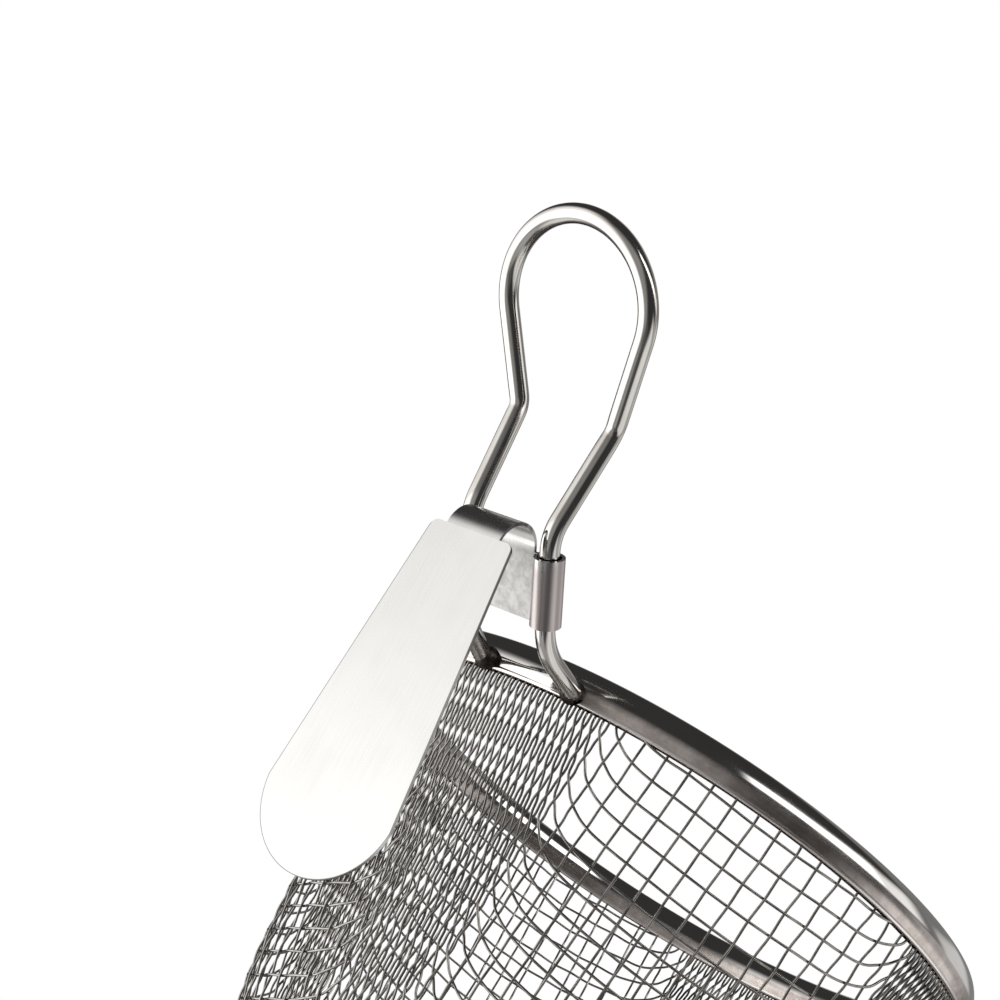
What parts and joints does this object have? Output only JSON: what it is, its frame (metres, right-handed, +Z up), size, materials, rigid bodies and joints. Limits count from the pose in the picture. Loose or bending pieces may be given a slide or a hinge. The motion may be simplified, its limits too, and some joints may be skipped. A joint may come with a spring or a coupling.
{
  "type": "wire mesh strainer basket",
  "caption": "Deep round wire-mesh strainer basket with a rolled rim, a looped wire handle and a sliding sheet-metal clip that hangs it inside a pot or tank.",
  "frame": {"origin": "centre of the basket's flat bottom, on the basket's axis", "axes": "+Z up along the basket's axis to its open mouth, +X towards the handle and clip, the XZ plane is the mirror plane"},
  "size_m": [0.2004, 0.14, 0.1733],
  "materials": {
    "rim_steel": "polished stainless strip",
    "core_steel": "drawn stainless wire",
    "mesh_steel": "woven drawn stainless wire",
    "handle_steel": "polished stainless wire",
    "weld_steel": "dark heat-tinted weld",
    "clip_steel": "satin stainless sheet"
  },
  "bodies": {
    "basket": {"rim_cover": "rim_steel", "rim_core_wire": "core_steel", "mesh_basket": "mesh_steel", "handle_wire": "handle_steel", "foot_weld_left": "weld_steel", "foot_weld_right": "weld_steel"},
    "clip": {"hanging_clip": "clip_steel"}
  },
  "joints": [
    {"name": "clip_slide", "type": "slide", "parent": "basket", "child": "clip", "axis": [0.766, 0, 0.6428], "range_m": [0, 0.002]}
  ]
}
